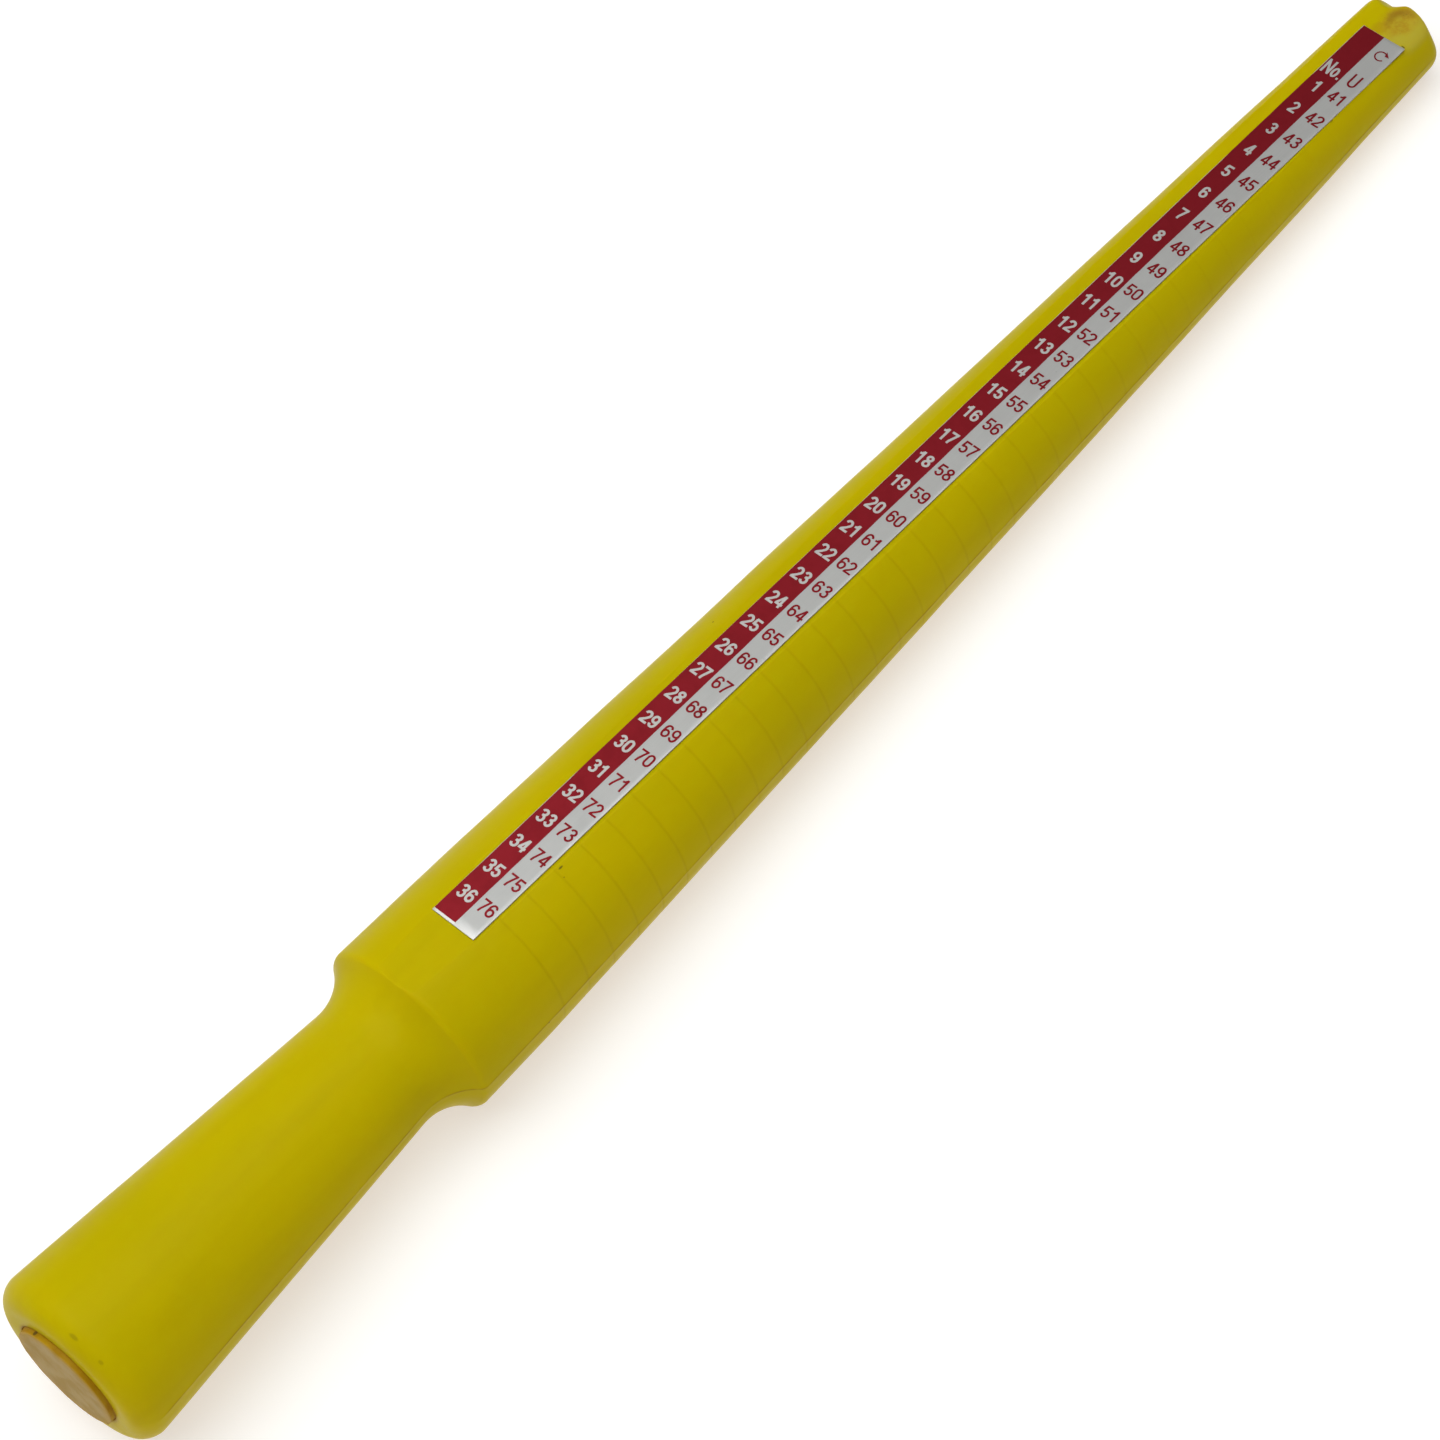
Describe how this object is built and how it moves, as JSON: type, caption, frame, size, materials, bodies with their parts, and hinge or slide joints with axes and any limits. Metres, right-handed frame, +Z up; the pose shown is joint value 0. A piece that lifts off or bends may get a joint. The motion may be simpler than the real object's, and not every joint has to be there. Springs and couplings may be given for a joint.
{
  "type": "ring mandrel",
  "caption": "Tapered plastic stick with a shouldered grip handle and a printed size strip on a lengthwise flat, for reading the inside size of finger rings.",
  "frame": {"origin": "on the bench surface, under the middle of the mandrel, which lies on the side of its cone with the scale strip uppermost", "axes": "+X runs along the bench towards the thin tip, +Z is up, and +Y is to the left when looking from the handle to the tip"},
  "size_m": [0.2507, 0.0248, 0.0268],
  "materials": {
    "yellow_plastic": "moulded, semi-gloss, slightly waxy",
    "cut_plastic": "cut face, matt",
    "printed_metal": "satin strip, printed dark red and silver",
    "clear_tape": "thin double-sided film"
  },
  "bodies": {
    "root": {"mandrel_body": "yellow_plastic", "end_plug": "cut_plastic", "scale_strip": "printed_metal", "adhesive_tape": "clear_tape"}
  },
  "joints": []
}
